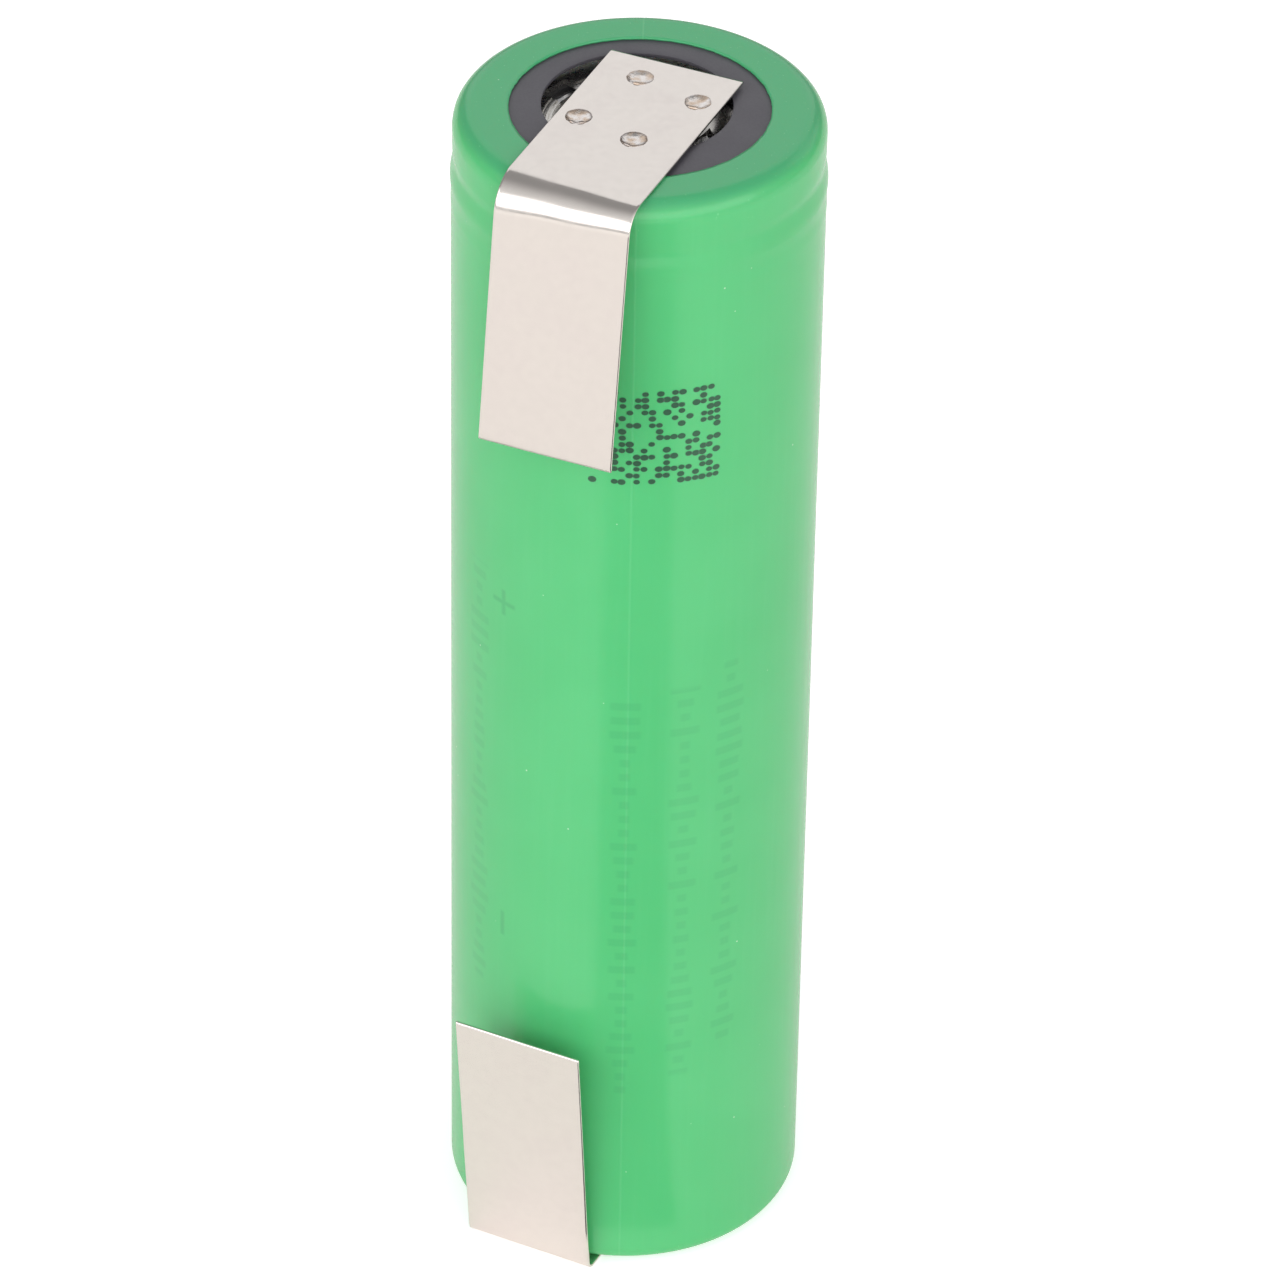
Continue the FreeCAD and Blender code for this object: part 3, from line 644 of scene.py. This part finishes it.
def build_strip(shape):
    """The whole strip as one closed skin, with dents under its welds, slight waves and soft cut edges."""
    half, soft = STRIP["width"] / 2, STRIP["soft"]
    thick = STRIP["thickness"] / 2
    plate = [-1 + i / 110 for i in range(111)]
    fold = [i / 40 for i in range(1, 41)]
    leg = [1 + i / 70 for i in range(1, 71)]
    shares = plate + fold + leg
    spread = [-half + soft + (2 * half - 2 * soft) * j / 72 for j in range(73)]
    waves = Waves(41 if shape.end == "positive" else 42, 5.5)
    fine = Waves(43, 1.6)

    section = [(y, 1.0) for y in spread]
    section += [(half, 1 - soft / thick), (half, -1 + soft / thick)]
    section += [(y, -1.0) for y in reversed(spread)]
    section += [(-half, -1 + soft / thick), (-half, 1 - soft / thick)]

    points = []
    for number, share in enumerate(shares):
        at_end = number in (0, len(shares) - 1)
        for y, side in section:
            out, up, away = shape.path(share, y)
            depth = side * thick * ((1 - soft / thick) if at_end else 1.0)
            calm = smoothstep(*STRIP["calm"], out) if share <= 0 else 1.0
            wave = (STRIP["plate_wave"] * waves.at(out, y) + STRIP["fine_wave"] * fine.at(out, y)) * calm
            if share > 1:
                down = share - 1
                wave = STRIP["leg_wave"] * waves.at(12 * down, y) * min(1.0, 3 * down)
                wave += STRIP["fine_wave"] * fine.at(up, y)
            if share <= 0 and side > 0:
                for weld_out, weld_y in shape.size["welds"]:
                    gap = math.hypot(out - weld_out, y + shape.size["offset"] - weld_y)
                    depth -= DENT["depth"] * (1 - smoothstep(DENT["floor"], DENT["rim"], gap))
                    depth -= DENT["dip"] * bell(gap, DENT["spread"])
            if share <= 0:
                wave = min(wave, 0.0) if side > 0 else max(wave, 0.0)
            total = depth + wave
            points.append(shape.place(out + away[0] * total, y, up + away[1] * total))
    columns = len(section)
    faces = grid_faces(len(shares), columns, close_columns=True)
    faces += strip_cap(0, len(spread), columns)
    faces += [tuple(reversed(f)) for f in strip_cap((len(shares) - 1) * columns, len(spread), columns)]
    if shape.size["up"] > 0:
        faces = [tuple(reversed(f)) for f in faces]
    piece = add_mesh(f"{shape.end}_tab_strip", points, faces)
    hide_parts(f"{shape.end}_tab", f"{shape.end}_tab_leg")
    return piece


def strip_cap(first, wide, columns):
    """Faces that close one end of the strip, between its upper and lower rows."""
    faces = []
    lower_start = first + wide + 2
    lower_end = lower_start + wide - 1
    for j in range(wide - 1):
        faces.append((first + j + 1, first + j, lower_end - j, lower_end - j - 1))
    faces.append((first + wide, first + wide - 1, lower_start, first + wide + 1))
    faces.append((first, first + columns - 1, first + columns - 2, lower_end))
    return faces


def build_welds(shape):
    """The spot welds of one tab: shallow craters with ragged rims and beads, sunk into the strip, each with a
    dark ring at its rim that is heat tint and painted shadow.
    """
    rings, turns = 20, 72
    points, faces, burn_and_shade = [], [], []
    for index, (weld_out, weld_y) in enumerate(shape.size["welds"]):
        heat_and_shade = 1.0 if weld_out > 0 else 0.45        # the pair nearer the fold gets the darker rim ring, which is heat tint and painted shadow
        number = index + (0 if shape.end == "positive" else 10)
        first = len(points)
        outline = Waves(330 + number, 0.5, count=6)
        y_middle = weld_y - shape.size["offset"]
        rows = [(i / rings, 0.0) for i in range(1, rings + 1)] + list(WELD["skirt"])
        for r, sunk in rows:
            for k in range(turns):
                angle = 2 * math.pi * k / turns
                reach = WELD["radius"] * (1 + 0.05 * outline.at(math.cos(angle), math.sin(angle)))
                height = weld_height(number, r * WELD["radius"], angle)
                height *= 1 - smoothstep(WELD["rim_at"], 1.0, r)
                height = min(height, shape.size["proud"]) - sunk
                patchy = 0.7 + 0.3 * outline.at(3 * math.cos(angle), 3 * math.sin(angle))
                # painted shadow and heat tint: a dark ring along each weld's rim, strongest on the pair
                # nearer the fold
                burn_and_shade.append(heat_and_shade * bell(r - WELD["rim_at"], 0.09) * patchy)
                points.append(shape.place(
                    weld_out + r * reach * math.cos(angle), y_middle + r * reach * math.sin(angle),
                    STRIP["thickness"] + height))
        middle = len(points)
        points.append(shape.place(weld_out, y_middle, STRIP["thickness"] + weld_height(number, 0, 0)))
        under = len(points)
        points.append(shape.place(weld_out, y_middle, STRIP["thickness"] - WELD["root"]))
        burn_and_shade += [0.0, 0.0]
        ring_faces = [tuple(first + v for v in f) for f in grid_faces(len(rows), turns, close_columns=True)]
        last = first + (len(rows) - 1) * turns
        fans = [(middle, first + (k + 1) % turns, first + k) for k in range(turns)]
        closing = [(under, last + k, last + (k + 1) % turns) for k in range(turns)]
        skin = ring_faces + fans + closing
        if shape.size["up"] > 0:
            skin = [tuple(reversed(f)) for f in skin]
        faces += skin
    piece = add_mesh(f"{shape.end}_spot_welds", points, faces)
    piece.data.attributes.new("burn_and_shade", "FLOAT", "POINT").data.foreach_set("value", burn_and_shade)
    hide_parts(f"{shape.end}_tab_welds")
    return piece


def nickel_material():
    """Soft rolled nickel strip: warm pale metal, faint rolling lines, handling smudges and mottling."""
    s = Shader("nickel_strip")
    mottle = s.noise(0.55, detail=5.0, roughness=0.6)
    smudge = s.ramp(s.noise(2.6, detail=3.0), 0.48, 0.68)
    rolled = s.noise(0.09, detail=2.0, stretch=(6, 12, 30))
    worn = s.edges(0.03)
    colour = s.mix(s.ramp(mottle, 0.35, 0.65), (0.815, 0.762, 0.722), (0.803, 0.750, 0.710))
    colour = s.mix(s.math("MULTIPLY", smudge, 0.22), colour, (0.785, 0.712, 0.690))
    colour = s.mix(s.math("MULTIPLY", worn, 0.6), colour, (0.93, 0.90, 0.86))
    rough = s.ramp(mottle, 0.3, 0.7, 0.13, 0.20)
    rough = s.math("ADD", rough, s.math("MULTIPLY", smudge, 0.05))
    relief = s.bump(mottle, 0.0008)
    relief = s.bump(rolled, 0.0006, before=relief)
    return s.finish(colour, rough, relief, metallic=1.0)


def weld_material():
    """Spot-weld metal: bright frozen nickel with straw and bronze heat tints and dark scorched flecks, and a
    dark ring at each rim that is heat tint and painted shadow.
    """
    s = Shader("weld_metal")
    tint = s.noise(0.55, detail=3.0)
    flecks = s.ramp(s.noise(0.10, detail=3.0), 0.60, 0.70)
    colour = s.mix(s.ramp(tint, 0.38, 0.62), (0.84, 0.80, 0.78), (0.70, 0.56, 0.45))
    colour = s.mix(s.math("MULTIPLY", flecks, 0.35), colour, (0.20, 0.15, 0.12))
    rim = s.tree.nodes.new("ShaderNodeAttribute")
    rim.attribute_name = "burn_and_shade"
    # the dark rim colour is painted shadow at the crater's edge as well as heat tint
    colour = s.mix(s.math("MULTIPLY", rim.outputs["Fac"], 1.1, clamp=True), colour, (0.13, 0.095, 0.085))
    rough = s.ramp(tint, 0.3, 0.7, 0.12, 0.34)
    return s.finish(colour, rough, s.bump(s.noise(0.07, detail=3.0), 0.012), metallic=1.0)


# ---------------------------------------------------------------- studio

# This section's lengths are in metres, apart from the camera's.
FLOOR = {"radius": 4.0, "height": -0.00002, "light": 0.21, "light_seen": 0.51, "grey": 0.86}
FLOOR_TINT = (1.0, 0.855, 0.72)     # what reflections see; the camera sees a plain white floor
SKY_LIGHT = {"back": 0.31, "front": 0.78, "horizon": 0.65}
SKY_TURN = {"front": (0.30, -0.45), "horizon": (0.0, 0.15)}     # along a direction's Y and Z
FLAG = {"from": -107, "to": -67, "near": 0.012, "far": 0.30, "height": 0.00001, "light": 0.12, "steps": 8}
PANELS = {      # azimuth and elevation in degrees, distance, width, height and strength
    "front_panel_left": (-150, 26, 1.0, 0.95, 0.62, 2.00),
    "front_panel_middle": (-98, 26, 1.0, 0.95, 0.62, 2.00),
    "front_panel_right": (-46, 26, 1.0, 0.95, 0.62, 2.00),
    "back_panel": (90, 31, 1.0, 0.90, 0.72, 0.92),
    "side_panel": (42, 28, 1.0, 0.45, 0.50, 0.80),
}
CAMERA = {"distance": 381.1, "elevation": 35.863, "yaw": -0.065, "pitch": 0.118, "roll": -0.940,
          "aim_height": 32.66, "lens": 211.6}


def emitter(name, strength):
    """A material that gives white light and nothing else."""
    material = bpy.data.materials.new(name)
    material.use_nodes = True
    tree = material.node_tree
    tree.nodes.clear()
    glow = tree.nodes.new("ShaderNodeEmission")
    glow.inputs["Color"].default_value = (1, 1, 1, 1)
    glow.inputs["Strength"].default_value = strength
    tree.links.new(glow.outputs[0], tree.nodes.new("ShaderNodeOutputMaterial").inputs["Surface"])
    return material


def light_panel(name, azimuth, elevation, distance, width, height, strength):
    """A softbox that faces the object's middle and that the camera doesn't see."""
    bpy.ops.mesh.primitive_plane_add(size=1)
    panel = bpy.context.object
    panel.name = name
    a, e = math.radians(azimuth), math.radians(elevation)
    towards = Vector((math.cos(a) * math.cos(e), math.sin(a) * math.cos(e), math.sin(e)))
    panel.location = towards * distance + Vector((0, 0, 0.033))
    panel.rotation_mode = "QUATERNION"
    panel.rotation_quaternion = (-towards).to_track_quat("Z", "Y")
    panel.scale = (width, height, 1)
    panel.data.materials.append(emitter(name, strength))
    panel.visible_camera = False
    panel.visible_shadow = False


def build_floor():
    """A pale, faintly glowing floor, as on a light table, seen only from above."""
    bpy.ops.mesh.primitive_circle_add(
        vertices=96, radius=FLOOR["radius"], fill_type="NGON", location=(0, 0, FLOOR["height"]))
    floor = bpy.context.object
    floor.name = "studio_floor"
    material = bpy.data.materials.new("pale_floor")
    material.use_nodes = True
    tree = material.node_tree
    tree.nodes.clear()
    base = tree.nodes.new("ShaderNodeBsdfDiffuse")
    base.inputs["Color"].default_value = (FLOOR["grey"], FLOOR["grey"], FLOOR["grey"], 1)
    glow = tree.nodes.new("ShaderNodeEmission")
    glow.inputs["Color"].default_value = (*FLOOR_TINT, 1)
    glow.inputs["Strength"].default_value = FLOOR["light"]
    white = tree.nodes.new("ShaderNodeEmission")
    white.inputs["Strength"].default_value = FLOOR["light_seen"]
    seen = tree.nodes.new("ShaderNodeLightPath").outputs["Is Camera Ray"]
    shown = tree.nodes.new("ShaderNodeMixShader")
    both = tree.nodes.new("ShaderNodeAddShader")
    clear = tree.nodes.new("ShaderNodeBsdfTransparent")
    side = tree.nodes.new("ShaderNodeNewGeometry")
    choose = tree.nodes.new("ShaderNodeMixShader")
    tree.links.new(base.outputs[0], both.inputs[0])
    tree.links.new(seen, shown.inputs[0])
    tree.links.new(glow.outputs[0], shown.inputs[1])
    tree.links.new(white.outputs[0], shown.inputs[2])
    tree.links.new(shown.outputs[0], both.inputs[1])
    tree.links.new(side.outputs["Backfacing"], choose.inputs[0])
    tree.links.new(both.outputs[0], choose.inputs[1])
    tree.links.new(clear.outputs[0], choose.inputs[2])
    tree.links.new(choose.outputs[0], tree.nodes.new("ShaderNodeOutputMaterial").inputs["Surface"])
    floor.data.materials.append(material)


def build_flag():
    """A dark wedge flat on the floor, seen only by reflections, which shades a band down the sleeve."""
    steps = FLAG["steps"]
    span = FLAG["to"] - FLAG["from"]
    turns = [math.radians(FLAG["from"] + span * i / steps) for i in range(steps + 1)]
    points = [(FLAG["far"] * math.cos(turn), FLAG["far"] * math.sin(turn)) for turn in turns]
    points += [(FLAG["near"] * math.cos(turn), FLAG["near"] * math.sin(turn)) for turn in reversed(turns)]
    mesh = bpy.data.meshes.new("reflection_flag")
    mesh.from_pydata([(x, y, FLAG["height"]) for x, y in points], [], [tuple(range(len(points)))])
    flag = bpy.data.objects.new("reflection_flag", mesh)
    bpy.context.scene.collection.objects.link(flag)
    mesh.materials.append(emitter("flag_grey", FLAG["light"]))
    flag.visible_camera = False
    flag.visible_diffuse = False
    flag.visible_shadow = False
    flag.visible_transmission = False


def build_world():
    """A sky, white to the camera and dimmer to all else, most of all behind the object and low down."""
    world = bpy.data.worlds.new("studio")
    bpy.context.scene.world = world
    world.use_nodes = True
    tree = world.node_tree
    tree.nodes.clear()
    dim = tree.nodes.new("ShaderNodeBackground")
    direction = tree.nodes.new("ShaderNodeSeparateXYZ")
    tree.links.new(tree.nodes.new("ShaderNodeTexCoord").outputs["Generated"], direction.inputs[0])
    front = tree.nodes.new("ShaderNodeMapRange")
    low = tree.nodes.new("ShaderNodeMapRange")
    for node, span in ((front, (*SKY_TURN["front"], SKY_LIGHT["back"], SKY_LIGHT["front"])),
                       (low, (*SKY_TURN["horizon"], SKY_LIGHT["horizon"], 1.0))):
        node.interpolation_type = "SMOOTHSTEP"
        for socket, value in zip(list(node.inputs)[1:5], span):
            socket.default_value = value
    tree.links.new(direction.outputs["Y"], front.inputs[0])
    tree.links.new(direction.outputs["Z"], low.inputs[0])
    strength = tree.nodes.new("ShaderNodeMath")
    strength.operation = "MULTIPLY"
    tree.links.new(front.outputs[0], strength.inputs[0])
    tree.links.new(low.outputs[0], strength.inputs[1])
    tree.links.new(strength.outputs[0], dim.inputs["Strength"])
    white = tree.nodes.new("ShaderNodeBackground")
    white.inputs["Strength"].default_value = 1.0
    for background in (dim, white):
        background.inputs["Color"].default_value = (1, 1, 1, 1)
    seen = tree.nodes.new("ShaderNodeLightPath").outputs["Is Camera Ray"]
    choose = tree.nodes.new("ShaderNodeMixShader")
    tree.links.new(seen, choose.inputs[0])
    tree.links.new(dim.outputs[0], choose.inputs[1])
    tree.links.new(white.outputs[0], choose.inputs[2])
    tree.links.new(choose.outputs[0], tree.nodes.new("ShaderNodeOutputWorld").inputs["Surface"])


def build_camera():
    """A camera in front of the object, fitted to the photograph.  CAMERA's lengths are in millimetres."""
    data = bpy.data.cameras.new("camera")
    camera = bpy.data.objects.new("camera", data)
    bpy.context.scene.collection.objects.link(camera)
    data.sensor_width = 36.0
    data.lens = CAMERA["lens"]
    data.clip_start = 0.01
    data.clip_end = 20.0
    elevation = math.radians(CAMERA["elevation"])
    reach = CAMERA["distance"] * MM
    place = Vector((0, -reach * math.cos(elevation), reach * math.sin(elevation) + CAMERA["aim_height"] * MM))
    forward = Vector((0, math.cos(elevation), -math.sin(elevation)))
    right = Vector((1, 0, 0))
    up = right.cross(forward)
    for angle, axis in ((CAMERA["yaw"], "up"), (CAMERA["pitch"], "right"), (CAMERA["roll"], "forward")):
        about = {"up": up, "right": right, "forward": forward}[axis].copy()
        turn = Matrix.Rotation(math.radians(angle), 3, about)
        forward, right, up = turn @ forward, turn @ right, turn @ up
    camera.matrix_world = Matrix.Translation(place) @ Matrix((right, up, -forward)).transposed().to_4x4()
    bpy.context.scene.camera = camera


def build_studio():
    build_world()
    build_floor()
    build_flag()
    for name, panel in PANELS.items():
        light_panel(name, *panel)
    bpy.context.scene.view_settings.view_transform = "Standard"


# ---------------------------------------------------------------- the object

SLOT_MATERIALS = {
    "can": lambda: metal("can_steel", (0.66, 0.65, 0.63), (0.60, 0.59, 0.57), 0.26, grain=(1, 1, 20)),
    "cap": lambda: metal("cap_steel", (0.74, 0.72, 0.69), (0.68, 0.66, 0.63), 0.27, scratch=0.12),
    "aluminium": lambda: metal(
        "mill_aluminium", (0.80, 0.80, 0.81), (0.74, 0.74, 0.76), 0.30, grain=(1, 14, 1)),
    "nickel": nickel_material,
    "weld": weld_material,
    "sleeve": sleeve_material,
    "washer": lambda: plastic(
        "washer_fibre", (0.076, 0.072, 0.086), (0.086, 0.082, 0.096), 0.42, 0.12, 0.0015),
    "gasket": lambda: plastic(
        "gasket_polymer", (0.74, 0.76, 0.72), (0.68, 0.70, 0.66), 0.42,
        subsurface_weight=0.2, subsurface_scale=MM),
    "ptc": lambda: plastic("ptc_polymer", (0.030, 0.030, 0.032), (0.045, 0.044, 0.044), 0.55, 0.15, 0.006),
    "insulator": lambda: plastic(
        "insulator_polymer", (0.80, 0.79, 0.73), (0.74, 0.73, 0.66), 0.50, 0.10, 0.006),
    "cathode": lambda: plastic(
        "cathode_coating", (0.022, 0.022, 0.025), (0.035, 0.034, 0.036), 0.78, 0.08, 0.010),
    "anode": lambda: plastic(
        "anode_coating", (0.050, 0.048, 0.047), (0.075, 0.070, 0.066), 0.70, 0.10, 0.010),
    "separator": lambda: plastic("separator_film", (0.86, 0.86, 0.85), (0.80, 0.80, 0.80), 0.48, 0.06, 0.003),
    "tape": lambda: plastic("roll_tape_film", (0.05, 0.24, 0.09), (0.07, 0.28, 0.11), 0.25, 0.40, 0.003),
}


def main():
    build_camera()
    build_studio()
    materials = {name: make() for name, make in SLOT_MATERIALS.items()}
    for row in frame["record"]["subparts"]:
        slots = frame["nodes"][row["node"]].material_slots
        for slot in slots:
            slot.material = materials[row["material_slot"]]

    sleeve, washer, dots = build_sleeve(), build_washer(), build_dot_patch()
    sleeve.data.materials.append(materials["sleeve"])
    washer.data.materials.append(materials["washer"])
    ink = plastic("dot_ink", (0.020, 0.090, 0.045), (0.028, 0.110, 0.055), 0.45, 0.10, 0.004)
    dots.data.materials.append(ink)
    for piece in (sleeve, washer, dots):
        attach(piece, "cell")

    for end in TABS:
        shape = TabShape(end)
        strip = build_strip(shape)
        strip.data.materials.append(materials["nickel"])
        start, finish = shape.blend_points()
        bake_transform(strip)
        welds = build_welds(shape)
        welds.data.materials.append(materials["weld"])
        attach(welds, "cell")


main()
